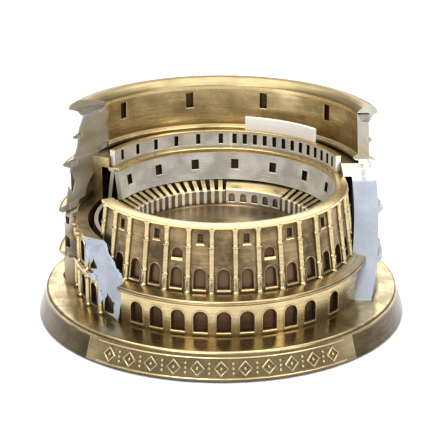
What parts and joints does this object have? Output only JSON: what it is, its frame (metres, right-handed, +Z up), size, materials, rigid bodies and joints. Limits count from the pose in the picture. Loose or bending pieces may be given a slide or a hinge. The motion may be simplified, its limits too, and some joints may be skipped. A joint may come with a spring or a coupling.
{
  "type": "miniature landmark model",
  "caption": "Small cast metal souvenir of a ruined round amphitheatre on a round plinth, with a low front ring, an open arena and a tall broken rear wall.",
  "frame": {"origin": "centre of the plinth, on the surface that the model stands on", "axes": "+Z up along the plinth's axis; -Y towards the front, where the ring is low; +Y towards the tall rear wall; +X to the right as seen from the front"},
  "size_m": [0.1, 0.1, 0.0541],
  "materials": {
    "antique_bronze": "antique bronze plating over die-cast metal, dark in the recesses and rubbed bright on the edges",
    "worn_bronze": "paler rubbed bronze plating, satin to bright",
    "polished_bronze": "bright golden rubbed edge",
    "dark_bronze": "dark unrubbed plating",
    "screw_steel": "bright zinc plated",
    "pad_felt": "dark felt"
  },
  "bodies": {
    "root": {"plinth": "antique_bronze", "front_cover": "antique_bronze", "base_pad": "pad_felt", "fixing_screw_1": "screw_steel", "fixing_screw_2": "screw_steel", "fixing_screw_3": "screw_steel", "core_drum": "dark_bronze", "arena_floor": "worn_bronze", "vault_ring": "worn_bronze", "podium_block": "worn_bronze", "ground_arcade": "antique_bronze", "string_course": "polished_bronze", "facade_ring": "antique_bronze", "inner_wall": "worn_bronze", "ring_coping": "polished_bronze", "gallery_base": "dark_bronze", "gallery_colonnade": "worn_bronze", "gallery_screen": "worn_bronze", "outer_storey_1": "antique_bronze", "outer_storey_2": "antique_bronze", "outer_storey_3": "antique_bronze", "outer_attic": "antique_bronze", "crown_cornice": "polished_bronze", "right_buttress": "worn_bronze", "left_ruin": "worn_bronze"}
  },
  "joints": []
}
